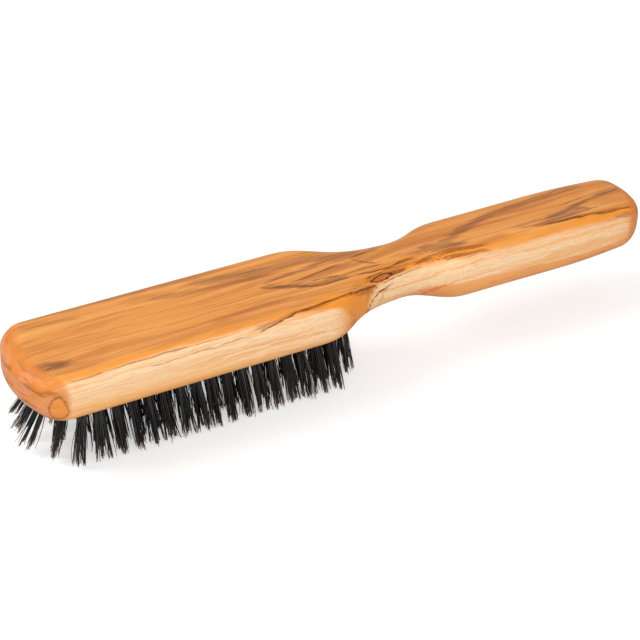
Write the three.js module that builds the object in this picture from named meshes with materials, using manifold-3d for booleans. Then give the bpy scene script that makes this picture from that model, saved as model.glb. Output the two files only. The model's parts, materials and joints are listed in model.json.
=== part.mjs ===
// A flat wooden hand brush: a one-piece body with tufts of bristle set in blind holes under its head.
// Millimetres, +Z up. X runs from the toe of the head to the end of the handle, Y across the head.
// The tips of the tufts stand on Z = 0, with the origin under the middle of the body.
import * as THREE from "three";
import { mergeVertices } from "three/addons/utils/BufferGeometryUtils.js";
import Module from "manifold-3d";

const wasm = await Module();
wasm.setup();

// ---- Driving dimensions ----

// Body, lengths along X measured from the toe.
const BODY_LENGTH = 188.4;
const HEAD_LENGTH = 80.2; // the stretch of full width
const NECK_AT = 110.1;
const HANDLE_AT = 128.4;

// Body, widths along Y.
const HEAD_WIDTH = 32.7;
const NECK_WIDTH = 15;
const HANDLE_WIDTH = 23.6;
const HANDLE_END_WIDTH = 21.3;

// Body, heights along Z.
const HEAD_THICKNESS = 13;
const HANDLE_RISE = 0.5; // of the handle's top above the head's
const HANDLE_DROP = 2.2; // of the handle's underside below the head's

// Body, roundings.
const TOE_BULGE = 4.8; // how far the middle of the toe stands out past its corners
const TOE_CORNER = 5.3;
const END_BULGE = 3.6;
const END_CORNER = 5.5;
const BULGE_FADE = 20; // length over which a bulge dies away
const HEAD_TOP_EDGE = 4.1;
const HEAD_BOTTOM_EDGE = 5;
const HANDLE_TOP_EDGE = 6.4;
const HANDLE_BOTTOM_EDGE = 7;

// Body, how fully the side outline swings in to the neck and out again: the two handles of each
// curve, as shares of its length.
const SHOULDER_SWING = [0.41, 0.66];
const WAIST_SWING = [0.45, 0.47];
const TAPER_SWING = [0.68, 0.35];
const TAPER_SLOPE = 0.12; // of the side where the handle's end rounding starts

// Tufts.
const BRISTLE_LENGTH = 16.5; // from the underside of the head to the tips
const ROWS = 5;
const TUFT_PITCH = 4.4; // along a row; neighbouring rows are half a pitch out of step
const EDGE_MARGIN = 5.95; // from the head's side to the middle of the outer row
const TOE_MARGIN = 14.1; // from the toe to the first tuft of the outer rows
const HEEL_REACH = 5; // how far the outer rows may run on past the full width
const HEEL_ROUND = 1; // tufts that every row but the outer ones has more at the heel
const TUFT_RADIUS = 1.3; // where it is folded into its hole
const TUFT_GAP = 0.4; // between the tips of neighbours that are not joined
const TOE_LEAN = 0.35; // outward, as a slope, at the first tuft of the middle row
const HEEL_LEAN = 0.17; // the other way, once the toe's fan has died away
const LEAN_FADE = 5;
const FAR_FAN = 0.5; // how much farther the toe's fan reaches, for each step towards the +Y side
const SIDE_LEAN = 0.06; // outward, at the outer rows
const LINK_WIDTH = 1.6; // of the strip where joined tufts' tips meet
const LINK_HEIGHT = 1.2;

// Holes.
const HOLE_DEPTH = 8;
const HOLE_CLEARANCE = 0.3; // round a tuft and above it

// Facets.
const RING_STEPS = 10; // stations along each curve of the outline
const ARC_STEPS = 4; // facets in a rounded edge
const ACROSS_STEPS = 6; // facets across the flat top and underside
const TUFT_SIDES = 8;
const MOST_NODES = 60;

// ---- Values worked out from them ----

const HALF_TURN = Math.PI;
const QUARTER_TURN = Math.PI / 2;
const TOE_X = -BODY_LENGTH / 2;
const UNDERSIDE_Z = BRISTLE_LENGTH;
const HEAD_TOP_Z = UNDERSIDE_Z + HEAD_THICKNESS;
const OUTER_ROW_Y = HEAD_WIDTH / 2 - EDGE_MARGIN;
const ROW_SPACING = (2 * OUTER_ROW_Y) / (ROWS - 1);
const TIP_RADIUS = (Math.min(TUFT_PITCH, ROW_SPACING) - TUFT_GAP) / 2;
const OUTER_ROW_TUFTS = 1 + Math.floor((HEAD_LENGTH + HEEL_REACH - TOE_MARGIN) / TUFT_PITCH);
const MIDDLE_ROW = (ROWS - 1) / 2;

const wood = new THREE.MeshStandardMaterial({ color: 0xd28c4b, roughness: 0.45, metalness: 0 });
const bristle = new THREE.MeshStandardMaterial({ color: 0x1c1a19, roughness: 0.6, metalness: 0 });

// ---- Solids and meshes ----

// A closed geometry as a solid that can be cut and joined.
function solidOf(geometry) {
  const bare = geometry.index ? geometry.toNonIndexed() : geometry;
  const positions = new THREE.BufferGeometry();
  positions.setAttribute("position", bare.getAttribute("position"));
  const merged = mergeVertices(positions, 1e-4);
  return new wasm.Manifold(
    new wasm.Mesh({
      numProp: 3,
      vertProperties: merged.getAttribute("position").array,
      triVerts: new Uint32Array(merged.index.array),
    }),
  );
}

// A solid as a geometry again.
function geometryOf(solid) {
  const { vertProperties, triVerts } = solid.getMesh();
  const geometry = new THREE.BufferGeometry();
  geometry.setAttribute("position", new THREE.BufferAttribute(vertProperties, 3));
  geometry.setIndex(new THREE.BufferAttribute(triVerts, 1));
  return geometry;
}

function named(name, geometry, material) {
  const mesh = new THREE.Mesh(geometry, material);
  mesh.name = name;
  return mesh;
}

// ---- The body ----

// One side of the plan outline, from the end of the toe's corner to the start of the handle's.
function sideOutline() {
  const start = TOE_BULGE + TOE_CORNER;
  const end = BODY_LENGTH - END_BULGE - END_CORNER;
  const halfHead = HEAD_WIDTH / 2;
  const path = new THREE.Path().moveTo(start, halfHead).lineTo(HEAD_LENGTH, halfHead);
  const swing = (toX, toHalf, [leave, arrive], slope) => {
    const { x: fromX, y: fromHalf } = path.currentPoint;
    const span = toX - fromX;
    path.bezierCurveTo(
      fromX + leave * span, fromHalf,
      toX - arrive * span, toHalf + slope * arrive * span,
      toX, toHalf,
    );
  };
  swing(NECK_AT, NECK_WIDTH / 2, SHOULDER_SWING, 0);
  swing(HANDLE_AT, HANDLE_WIDTH / 2, WAIST_SWING, 0);
  swing(end, HANDLE_END_WIDTH / 2, TAPER_SWING, TAPER_SLOPE);
  return path.getPoints(RING_STEPS);
}

// The cross-section at a distance along the body. Fullness runs from 0, at an end face, to 1 where
// the end's rounding is over.
function section(along, half, cornerDepth, fullness) {
  const swell = THREE.MathUtils.smoothstep(along, HEAD_LENGTH, HANDLE_AT);
  const hang = THREE.MathUtils.smoothstep(along, NECK_AT, HANDLE_AT);
  const topEdge = THREE.MathUtils.lerp(HEAD_TOP_EDGE, HANDLE_TOP_EDGE, swell);
  const bottomEdge = THREE.MathUtils.lerp(HEAD_BOTTOM_EDGE, HANDLE_BOTTOM_EDGE, swell);
  return {
    along,
    half: half - cornerDepth * (1 - fullness),
    top: HEAD_TOP_Z + HANDLE_RISE * swell - topEdge * (1 - fullness),
    bottom: UNDERSIDE_Z - HANDLE_DROP * hang + bottomEdge * (1 - fullness),
    topEdge: topEdge * fullness,
    bottomEdge: bottomEdge * fullness,
  };
}

// Every section from the toe's face to the handle's end face.
function sections() {
  const outline = sideOutline();
  const first = outline[0];
  const last = outline.at(-1);
  const toe = [];
  const end = [];
  for (let i = 0; i < ARC_STEPS; i++) {
    const turn = (QUARTER_TURN * i) / ARC_STEPS;
    const fullness = Math.sin(turn);
    const depth = Math.cos(turn);
    toe.push(section(first.x - TOE_CORNER * depth, first.y, TOE_CORNER, fullness));
    end.unshift(section(last.x + END_CORNER * depth, last.y, END_CORNER, fullness));
  }
  const between = outline.map(({ x, y }) => section(x, y, 0, 1));
  return [...toe, ...between, ...end];
}

// The points round a section, from the -Y side over the top to the +Y side and back underneath.
function ring({ along, half, top, bottom, topEdge, bottomEdge }) {
  const points = [];
  const corner = (y, z, radius, from) => {
    for (let i = 0; i <= ARC_STEPS; i++) {
      const turn = from - (QUARTER_TURN * i) / ARC_STEPS;
      points.push({ along, y: y + radius * Math.cos(turn), z: z + radius * Math.sin(turn) });
    }
  };
  const flat = (fromY, toY, z) => {
    for (let i = 1; i < ACROSS_STEPS; i++) {
      points.push({ along, y: THREE.MathUtils.lerp(fromY, toY, i / ACROSS_STEPS), z });
    }
  };
  const topY = half - topEdge;
  const bottomY = half - bottomEdge;
  corner(-topY, top - topEdge, topEdge, HALF_TURN);
  flat(-topY, topY, top);
  corner(topY, top - topEdge, topEdge, QUARTER_TURN);
  corner(bottomY, bottom + bottomEdge, bottomEdge, 0);
  flat(bottomY, -bottomY, bottom);
  corner(-bottomY, bottom + bottomEdge, bottomEdge, -QUARTER_TURN);
  return points;
}

// How far the bulged ends push a point along X.
function bulge(along, y) {
  const toeFade = Math.max(0, 1 - (along - TOE_BULGE) / BULGE_FADE);
  const endFade = Math.max(0, 1 - (BODY_LENGTH - END_BULGE - along) / BULGE_FADE);
  const toe = TOE_BULGE * (1 - (2 * y / HEAD_WIDTH) ** 2) * toeFade;
  const end = END_BULGE * (1 - (2 * y / HANDLE_END_WIDTH) ** 2) * endFade;
  return end - toe;
}

// The loop round an end face, drawn in towards the face's middle.
function drawnIn(face, scale) {
  const middle = (face.top + face.bottom) / 2;
  return ring(face).map(({ along, y, z }) => ({
    along,
    y: y * scale,
    z: THREE.MathUtils.lerp(middle, z, scale),
  }));
}

// The body before drilling: a ball whose rings are drawn out onto the sections, from pole to pole.
function bodyBlank() {
  const rounds = sections();
  const toeFace = rounds[0];
  const endFace = rounds.at(-1);
  const loops = [
    drawnIn(toeFace, 0),
    drawnIn(toeFace, 0.5),
    ...rounds.map(ring),
    drawnIn(endFace, 0.5),
    drawnIn(endFace, 0),
  ];
  const sides = loops[0].length;
  const ball = new THREE.SphereGeometry(1, sides, loops.length - 1);
  const position = ball.getAttribute("position");
  loops.forEach((loop, row) => {
    for (let i = 0; i <= sides; i++) {
      const { along, y, z } = loop[i % sides];
      position.setXYZ(row * (sides + 1) + i, TOE_X + along + bulge(along, y), y, z);
    }
  });
  return ball;
}

// ---- Tufts and their holes ----

// A round solid about the Z axis, from [radius, z] pairs that run upwards.
function turned(pairs) {
  const profile = [[0, pairs[0][1]], ...pairs, [0, pairs.at(-1)[1]]];
  const points = profile.map(([radius, z]) => new THREE.Vector2(radius, z));
  return new THREE.LatheGeometry(points, TUFT_SIDES).rotateX(QUARTER_TURN);
}

// The mouths of one row's holes: place on the underside and slope of the tuft.
function rowOfTufts(row) {
  const y = (row - MIDDLE_ROW) * ROW_SPACING;
  const inset = MIDDLE_ROW - Math.abs(row - MIDDLE_ROW);
  const firstX = TOE_X + TOE_MARGIN - (inset * TUFT_PITCH) / 2;
  const toeX = TOE_X + TOE_MARGIN - (MIDDLE_ROW * TUFT_PITCH) / 2;
  const atHeel = inset > 0 ? HEEL_ROUND : 0;
  return Array.from({ length: OUTER_ROW_TUFTS + inset + atHeel }, (_, i) => {
    const x = firstX + i * TUFT_PITCH;
    const fan = Math.exp(-(x - toeX - FAR_FAN * Math.max(0, y)) / LEAN_FADE);
    const leanX = HEEL_LEAN - (HEEL_LEAN + TOE_LEAN) * fan;
    const leanY = (SIDE_LEAN * y) / OUTER_ROW_Y;
    return { x, y, leanX, leanY };
  });
}

// A straight blind hole, started a little below the underside.
function holeSolid({ x, y }) {
  const radius = TUFT_RADIUS + HOLE_CLEARANCE;
  const drill = turned([[radius, -TUFT_RADIUS], [radius, HOLE_DEPTH]]);
  return solidOf(drill.translate(x, y, UNDERSIDE_Z));
}

// A tuft stands straight in its hole and leans and spreads below the hole's mouth. Its tip is level.
function tuftSolid({ x, y, leanX, leanY }) {
  const tuft = turned([
    [TIP_RADIUS, -BRISTLE_LENGTH],
    [TUFT_RADIUS, -HOLE_CLEARANCE],
    [TUFT_RADIUS, HOLE_DEPTH - HOLE_CLEARANCE],
  ]);
  const position = tuft.getAttribute("position");
  for (let i = 0; i < position.count; i++) {
    const drop = Math.max(0, -position.getZ(i));
    position.setX(i, position.getX(i) + leanX * drop);
    position.setY(i, position.getY(i) + leanY * drop);
  }
  return solidOf(tuft.translate(x, y, UNDERSIDE_Z));
}

// The strip where the tips of two neighbours in a row meet.
function linkSolid(a, b) {
  const [fromX, toX] = [a, b].map(({ x, leanX }) => x + leanX * BRISTLE_LENGTH);
  const tipY = a.y + a.leanY * BRISTLE_LENGTH;
  const strip = new THREE.BoxGeometry(toX - fromX, LINK_WIDTH, LINK_HEIGHT);
  return solidOf(strip.translate((fromX + toX) / 2, tipY, LINK_HEIGHT / 2));
}

// Splits a row into runs of one length, with what is left over standing alone at the toe.
function runs(tufts, length) {
  const alone = tufts.length % length;
  const parts = tufts.slice(0, alone).map((tuft) => [tuft]);
  for (let i = alone; i < tufts.length; i += length) {
    parts.push(tufts.slice(i, i + length));
  }
  return parts;
}

// The outer rows stay one tuft to a mesh. The inner rows are joined in the shortest runs that
// keep the whole brush within the most meshes it may have.
function groupedRows(rows) {
  const isOuter = (row) => row === 0 || row === ROWS - 1;
  const grouped = (length) => rows.map((tufts, row) => runs(tufts, isOuter(row) ? 1 : length));
  let length = 1;
  while (1 + grouped(length).flat().length > MOST_NODES) {
    length += 1;
  }
  return grouped(length);
}

function tuftMeshes(rows) {
  return groupedRows(rows).flatMap((groups, row) =>
    groups.map((tufts, i) => {
      let solid = tuftSolid(tufts[0]);
      tufts.slice(1).forEach((tuft, k) => {
        solid = solid.add(tuftSolid(tuft)).add(linkSolid(tufts[k], tuft));
      });
      const kind = tufts.length > 1 ? "tufts" : "tuft";
      const number = String(i + 1).padStart(2, "0");
      return named(`${kind}_row${row + 1}_${number}`, geometryOf(solid), bristle);
    }),
  );
}

function bodyMesh(rows) {
  let solid = solidOf(bodyBlank());
  rows.flat().forEach((tuft) => {
    solid = solid.subtract(holeSolid(tuft));
  });
  return named("brush_body", geometryOf(solid), wood);
}

// ---- The brush ----

const rows = Array.from({ length: ROWS }, (_, row) => rowOfTufts(row));
const brush = new THREE.Group();
brush.add(bodyMesh(rows));
brush.add(...tuftMeshes(rows));

export default brush;
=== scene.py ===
"""The finish of a wooden beard brush: an oiled olive-wood body, bristle tufts and their anchors.

Everything is in metres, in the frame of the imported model: X from the toe of the head to the end of
the handle, Y across the head, Z up from the tips of the bristles.
"""

import json
import math
import random

import bmesh
import bpy
from bpy.props import FloatProperty, FloatVectorProperty, IntProperty, PointerProperty
from mathutils import Matrix, Vector


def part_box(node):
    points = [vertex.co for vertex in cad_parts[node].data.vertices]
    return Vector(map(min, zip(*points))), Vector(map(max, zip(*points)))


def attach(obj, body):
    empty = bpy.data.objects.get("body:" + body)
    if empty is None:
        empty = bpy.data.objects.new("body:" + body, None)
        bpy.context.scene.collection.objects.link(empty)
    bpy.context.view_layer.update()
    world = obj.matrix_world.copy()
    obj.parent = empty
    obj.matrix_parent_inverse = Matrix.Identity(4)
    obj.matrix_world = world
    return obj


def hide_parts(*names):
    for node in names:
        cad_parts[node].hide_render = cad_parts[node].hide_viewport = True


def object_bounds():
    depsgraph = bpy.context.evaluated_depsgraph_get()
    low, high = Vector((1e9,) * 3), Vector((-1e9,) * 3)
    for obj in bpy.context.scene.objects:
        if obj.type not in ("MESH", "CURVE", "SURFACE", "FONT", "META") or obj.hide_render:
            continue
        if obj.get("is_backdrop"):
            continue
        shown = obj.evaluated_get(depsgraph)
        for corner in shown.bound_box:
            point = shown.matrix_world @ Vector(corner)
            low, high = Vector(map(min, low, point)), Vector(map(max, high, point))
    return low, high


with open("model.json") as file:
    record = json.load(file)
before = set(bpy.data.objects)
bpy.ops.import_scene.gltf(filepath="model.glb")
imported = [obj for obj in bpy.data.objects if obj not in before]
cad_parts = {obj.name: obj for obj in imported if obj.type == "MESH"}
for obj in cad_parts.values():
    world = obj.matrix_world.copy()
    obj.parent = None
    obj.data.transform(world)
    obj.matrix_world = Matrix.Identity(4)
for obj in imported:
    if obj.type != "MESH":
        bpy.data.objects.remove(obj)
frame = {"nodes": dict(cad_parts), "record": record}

bl_info = {
    "name": "Beard Brush",
    "version": (1, 0, 0),
    "blender": (4, 5, 0),
    "location": "View3D > Sidebar > Brush",
    "description": "Builds a wooden beard brush: body, bristle tufts, anchors and studio stage",
    "category": "Add Mesh",
}

BODY = "root"
BODY_NODE = "brush_body"

LOW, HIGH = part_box(BODY_NODE)
LENGTH = HIGH.x - LOW.x
BACK_FACE = next(m for m in frame["record"]["mounts"] if m["name"] == "back_face")
HEAD_TOP = BACK_FACE["pos_m"][2]
HEAD_THICKNESS = 0.013
UNDERSIDE = HEAD_TOP - HEAD_THICKNESS


def size(name, description, default):
    """A length that a user may change."""
    return FloatProperty(name=name, description=description, default=default, unit="LENGTH", precision=4)


def share(name, description, default):
    """A plain ratio."""
    return FloatProperty(name=name, description=description, default=default, precision=3)


def colour(name, description, default):
    """A linear colour."""
    return FloatVectorProperty(
        name=name, description=description, default=default, size=3, min=0, max=1, subtype="COLOR"
    )


def count(name, description, default):
    """A whole number."""
    return IntProperty(name=name, description=description, default=default, min=1)


def angle(name, description, degrees):
    """An angle, given here in degrees."""
    return FloatProperty(name=name, description=description, default=math.radians(degrees), subtype="ANGLE")


def power(name, description, default):
    """The power of a lamp."""
    return FloatProperty(name=name, description=description, default=default, unit="POWER")


# ---- Settings ----


class BodySizes(bpy.types.PropertyGroup):
    """Sizes of the wooden body, lengths along it measured from the toe."""

    head_length: size("Head length", "Stretch of full width, from the toe", 0.0802)
    neck_at: size("Neck", "Where the neck is narrowest", 0.1101)
    handle_at: size("Handle", "Where the handle reaches its full width", 0.1284)
    neck_width: size("Neck width", "Width at the narrowest", 0.015)
    handle_width: size("Handle width", "Full width of the handle", 0.0236)
    end_width: size("Handle end width", "Width where the end rounding starts", 0.0213)
    handle_drop: size("Handle drop", "How far the handle hangs below the head", 0.0022)
    toe_bulge: size("Toe bulge", "How far the middle of the toe stands out", 0.0048)
    toe_corner: size("Toe corner", "Rounding of the toe's corners", 0.0053)
    end_bulge: size("End bulge", "How far the middle of the handle's end stands out", 0.0036)
    end_corner: size("End corner", "Rounding of the handle's end corners", 0.0055)
    bulge_fade: size("Bulge fade", "Length over which a bulge dies away", 0.02)
    head_top_edge: size("Head top edge", "Rounding of the head's upper edges", 0.0041)
    head_bottom_edge: size("Head bottom edge", "Rounding of the head's lower edges", 0.005)
    handle_top_edge: size("Handle top edge", "Rounding of the handle's upper edges", 0.0064)
    handle_bottom_edge: size("Handle bottom edge", "Rounding of the handle's lower edges", 0.007)
    taper_slope: share("Taper", "Slope of the handle's sides at its end", 0.12)


class TuftSizes(bpy.types.PropertyGroup):
    """Sizes of the holes, tufts, bristles and anchors."""

    hole_radius: size("Hole radius", "Radius of a blind hole", 0.0016)
    hole_depth: size("Hole depth", "Depth of a blind hole", 0.008)
    bristles: count("Bristles", "Bristle ends in one tuft", 58)
    locks: count("Locks", "Locks that a tuft parts into", 7)
    lock_drift: size("Lock drift", "How far a lock's tip strays", 0.0003)
    bristle_radius: size("Bristle radius", "Mean radius of a bristle at the wood", 0.00014)
    tip_spread: share("Tip spread", "Width of a tuft at its tips, against its width at the wood", 1.6)
    toe_lean: share("Toe lean", "Outward slope of the first tuft at the toe", 0.48)
    heel_lean: share("Heel lean", "Slope towards the handle of the other tufts", 0.17)
    lean_fade: size("Lean fade", "Length over which the toe's fan dies away", 0.005)
    far_fan: share("Far fan", "How much farther the toe's fan reaches towards the far side", 0.5)
    side_lean: share("Side lean", "Outward slope of the outer rows", 0.06)
    anchor_height: size("Anchor height", "Height of the flat steel anchor", 0.0014)
    anchor_thickness: size("Anchor thickness", "Thickness of the flat steel anchor", 0.0003)


class Finish(bpy.types.PropertyGroup):
    """Colours of the oiled wood, the bristles and the steel."""

    heartwood: colour("Heartwood", "Main colour of the wood", (0.80, 0.315, 0.07))
    light_band: colour("Light band", "Lighter growth bands", (0.88, 0.40, 0.11))
    dark_band: colour("Dark band", "Darker growth bands", (0.56, 0.19, 0.04))
    golden: colour("Golden wood", "Wood just inside the sapwood", (0.90, 0.305, 0.022))
    # The near side's pale colours are partly sapwood and partly a painted highlight, palest towards the top
    # of that side.
    sapwood_and_highlight: colour("Sapwood", "Pale wood on the near side", (0.96, 0.67, 0.40))
    low_sapwood: colour("Low sapwood", "Sapwood towards the underside", (0.94, 0.45, 0.14))
    red_band: colour("Red band", "Reddish band low on the handle", (0.78, 0.22, 0.08))
    brown_shade: colour("Brown shade", "Multiplies the wood's colour in its brown figure", (0.38, 0.36, 0.60))
    rust: colour("Rust", "Fibrous orange-brown streaks", (0.38, 0.105, 0.008))
    dark_line: colour("Dark line", "Sharp dark figure", (0.15, 0.042, 0.006))
    knot: colour("Knot", "Inside of the knot", (0.55, 0.14, 0.025))
    knot_rim: colour("Knot rim", "Outline of the knot", (0.03, 0.006, 0.001))
    # The colours of the cut ends are partly end grain and partly painted shade, darkest round their rims.
    end_rim_and_shade: colour("End rim", "Round the edge of the cut", (0.72, 0.22, 0.032))
    end_grain_and_shade: colour("End grain", "Wood cut across the grain", (0.76, 0.29, 0.12))
    bristle: colour("Bristle", "Bristle along its length", (0.003, 0.0026, 0.0026))
    # Painted glint: the greyer bristles stand in for light caught along them.
    bristle_glint: colour("Grey bristle", "The greyer ones among them", (0.05, 0.044, 0.043))
    bristle_tip: colour("Bristle tip", "Split tips", (0.36, 0.20, 0.11))
    bristle_pale: colour("Pale bristle", "The few unpigmented bristles", (0.62, 0.5, 0.36))
    steel: colour("Steel", "Anchor wire", (0.55, 0.55, 0.56))


class StageSettings(bpy.types.PropertyGroup):
    """Camera and light."""

    azimuth: angle("Azimuth", "Turn of the camera about Z", -32.25)
    elevation: angle("Elevation", "Camera's height angle", 33.1)
    roll: angle("Roll", "Turn of the camera about its own axis", 2.8)
    distance: size("Distance", "From the camera to the point it looks at", 0.576)
    aim: FloatVectorProperty(
        name="Aim",
        description="Point the camera looks at, from the middle of the brush",
        default=(-0.0085, -0.0037, 0.0022),
        size=3,
        subtype="TRANSLATION",
    )
    lens: FloatProperty(name="Lens", description="Focal length in millimetres", default=124.3)
    floor_level: share("Floor", "How white the floor is", 0.62)
    floor_glow: share("Floor glow", "What is added to the floor where the camera sees it", 0.52)
    key_power: power("Key", "Power of the key softbox", 6.5)
    fill_power: power("Fill", "Power of the fill softbox", 5.0)
    glint_power: power("Glints", "Power of the small light", 1.6)
    ambient: FloatProperty(name="Ambient", description="Strength of the world's light", default=0.5)


# ---- Helpers ----


def mesh_of(name, bm):
    """Turns a bmesh into a mesh."""
    mesh = bpy.data.meshes.new(name)
    bm.to_mesh(mesh)
    bm.free()
    return mesh


def placed(name, data):
    """Puts a mesh, a lamp or a camera into the scene."""
    thing = bpy.data.objects.new(name, data)
    bpy.context.scene.collection.objects.link(thing)
    return thing


def add_piece(name, bm, material):
    """Turns a bmesh into a piece of the brush that rides on its body."""
    piece = placed(name, mesh_of(name, bm))
    piece.data.materials.append(material)
    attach(piece, BODY)
    return piece


def smoothstep(value, start, end):
    """0 before start, 1 after end, with an eased rise between."""
    t = min(max((value - start) / (end - start), 0.0), 1.0)
    return t * t * (3 - 2 * t)


def lerp(a, b, t):
    return a + (b - a) * t


def cubic(points, t):
    """A point of the cubic Bezier curve with these four control points."""
    a, b, c, d = points
    return a * (1 - t) ** 3 + b * 3 * t * (1 - t) ** 2 + c * 3 * t * t * (1 - t) + d * t**3


# ---- Material building ----


class Nodes:
    """A material's node tree, with short calls for the nodes that the finishes use."""

    def __init__(self, name):
        self.material = bpy.data.materials.new(name)
        self.material.use_nodes = True
        self.tree = self.material.node_tree
        self.shader = self.tree.nodes["Principled BSDF"]

    def add(self, kind, inputs=None, **settings):
        node = self.tree.nodes.new(kind)
        for key, value in settings.items():
            setattr(node, key, value)
        for key, value in (inputs or {}).items():
            self.feed(node.inputs[key], value)
        return node

    def feed(self, socket, value):
        if isinstance(value, bpy.types.NodeSocket):
            self.tree.links.new(value, socket)
        else:
            socket.default_value = value

    def math(self, operation, a, b=0.0, c=0.0):
        return self.add("ShaderNodeMath", {0: a, 1: b, 2: c}, operation=operation).outputs[0]

    def times(self, a, b):
        return self.math("MULTIPLY", a, b)

    def vector(self, operation, a, b):
        return self.add("ShaderNodeVectorMath", {0: a, 1: b}, operation=operation).outputs[0]

    def scaled(self, coordinates, scale):
        return self.vector("MULTIPLY", coordinates, scale)

    def length(self, coordinates):
        return self.add("ShaderNodeVectorMath", {0: coordinates}, operation="LENGTH").outputs["Value"]

    def dot(self, coordinates, direction):
        inputs = {0: coordinates, 1: direction}
        return self.add("ShaderNodeVectorMath", inputs, operation="DOT_PRODUCT").outputs["Value"]

    def split(self, coordinates):
        return self.add("ShaderNodeSeparateXYZ", {0: coordinates}).outputs

    def joined(self, x, y, z):
        return self.add("ShaderNodeCombineXYZ", {0: x, 1: y, 2: z}).outputs[0]

    def noise(self, coordinates, detail=3.0, roughness=0.5):
        inputs = {"Vector": coordinates, "Scale": 1.0, "Detail": detail, "Roughness": roughness}
        return self.add("ShaderNodeTexNoise", inputs).outputs

    def curve(self, value, stops, low, high):
        """A smooth curve through (value, result) stops; the values span the stops, results low to high."""
        first, last = stops[0][0], stops[-1][0]
        share_of_span = self.math("DIVIDE", self.math("SUBTRACT", value, first), last - first)
        node = self.add("ShaderNodeFloatCurve", {"Value": share_of_span})
        points = node.mapping.curves[0].points
        places = [((at - first) / (last - first), (result - low) / (high - low)) for at, result in stops]
        points[0].location = places[0]
        points[1].location = places[-1]
        for place in places[1:-1]:
            points.new(*place)
        node.mapping.update()
        return self.math("MULTIPLY_ADD", node.outputs[0], high - low, c=low)

    def ease(self, value, start, end, low=0.0, high=1.0):
        """A smooth step from low, at start, to high, at end."""
        inputs = {"Value": value, "From Min": start, "From Max": end, "To Min": low, "To Max": high}
        return self.add("ShaderNodeMapRange", inputs, interpolation_type="SMOOTHSTEP").outputs[0]

    def mix(self, share_of_b, a, b, blend="MIX"):
        node = self.add("ShaderNodeMix", data_type="RGBA", blend_type=blend)
        self.feed(node.inputs["Factor"], share_of_b)
        self.feed(node.inputs["A"], rgba(a))
        self.feed(node.inputs["B"], rgba(b))
        return node.outputs["Result"]

    def surface(self, inputs):
        """Feeds the shader these inputs, and gives the finished material."""
        for key, value in inputs.items():
            self.feed(self.shader.inputs[key], value)
        return self.material


def rgba(value):
    """A colour with its alpha, or the socket that brings one."""
    return value if isinstance(value, bpy.types.NodeSocket) else (*value, 1.0)


MILLIMETRES = 1000.0

# The figure of this piece of wood, in millimetres: each line's course, half its width, and how
# strongly it shows. A course goes through points (along the brush, across its back and on down its
# near side).
DARK_LINES = (
    # Streaks that run from the head into the neck.
    (((-24, 0), (-17, -3), (-10, -6)), 0.7, 0.6),
    (((-11, -6), (0, -6), (10, -6)), 0.4, 0.85),
    (((-14, -1), (-1, 1)), 0.5, 0.65),
    (((-11, -3), (-3, -4), (9, -4)), 0.4, 0.75),
    # The heartwood's edge at the heel.
    (((-33, -17), (-21, -14), (-6, -12.5)), 0.4, 0.85),
    (((-6, -12.5), (5, -11.5)), 0.6, 0.8),
    # The V at the neck, and strokes round the knot.
    (((4, 2), (9, 3), (16, 6)), 0.35, 0.7),
    (((4, 1), (5, -1), (8, -3)), 0.5, 0.55),
    (((9, -6.5), (15, -5)), 0.4, 0.8),
    (((3, -8), (9, -7)), 0.3, 0.8),
    (((11, -8.5), (15, -8)), 0.75, 0.85),
    # Fine cracks down the near side of the neck.
    (((10, -12), (6, -14), (4, -16), (2, -20)), 0.28, 0.9),
    (((11, -12), (8, -14), (7, -17)), 0.2, 0.6),
    (((8, -11), (12, -10), (20, -9.5)), 0.35, 0.6),
    # Near the handle's end.
    (((60, -7), (74, -8), (89, -9.5)), 0.35, 0.75),
    # Fine lines on the head, most of them along its near edge.
    (((-92, -16), (-86, -16)), 0.3, 0.5),
    (((-82, 1), (-60, 0)), 0.25, 0.35),
    (((-86, -16), (-76, -15), (-40, -15)), 0.3, 0.55),
    (((-66, -18), (-34, -17.5)), 0.25, 0.4),
)
BROWN_SHADES = (
    # The head, from the toe to the heel.
    (((-90, -7), (-84, -8)), 2.2, 0.95),
    (((-92, -6), (-89, -11)), 0.7, 0.9),
    (((-88, 11), (-72, 9)), 1.2, 0.45),
    (((-78, 5.5), (-62, 6.5)), 0.5, 0.35),
    # Along the far edge of the head's back: partly wood figure, partly painted shade of that edge.
    (((-84, 14), (-30, 13)), 1.8, 0.55),
    (((-75, -8), (-45, -9), (-20, -7)), 1.3, 0.25),
    (((-52, 8), (-36, 6), (-20, 5)), 1.3, 0.55),
    (((-40, 10), (-17, 7), (-3, 7)), 1.9, 0.6),
    # Into the neck.
    (((-21, 2), (-10, 3), (0, 4)), 1.1, 0.8),
    (((-22, 0), (-17, -3), (-11, -5), (-3, -5)), 1.3, 0.75),
    (((-14, -1), (2, 0)), 1.1, 0.5),
    (((-4, 5), (6, 3)), 2.4, 0.7),
    (((5, 1), (14, 4)), 1.0, 0.5),
    # The handle: a patch, a long arm back from it, and the V near the end.
    (((14, -3), (24, -3)), 0.9, 0.45),
    (((23, -3), (32, -5)), 2.2, 0.85),
    (((29, -3), (36, 0), (43, 2)), 1.6, 0.75),
    (((43, 2), (51, 4), (62, 5), (80, 6)), 1.7, 0.65),
    (((52, -5), (60, -5)), 1.1, 0.5),
    (((60, -6), (72, -6)), 1.6, 0.75),
    (((62, -5), (70, -4), (77, -2), (91, 0)), 1.0, 0.9),
    (((71, -1), (89, 1)), 0.5, 0.55),
    (((72, -4), (76, -6)), 1.1, 0.8),
    (((82, -12), (89, -12)), 1.2, 0.6),
)
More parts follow.
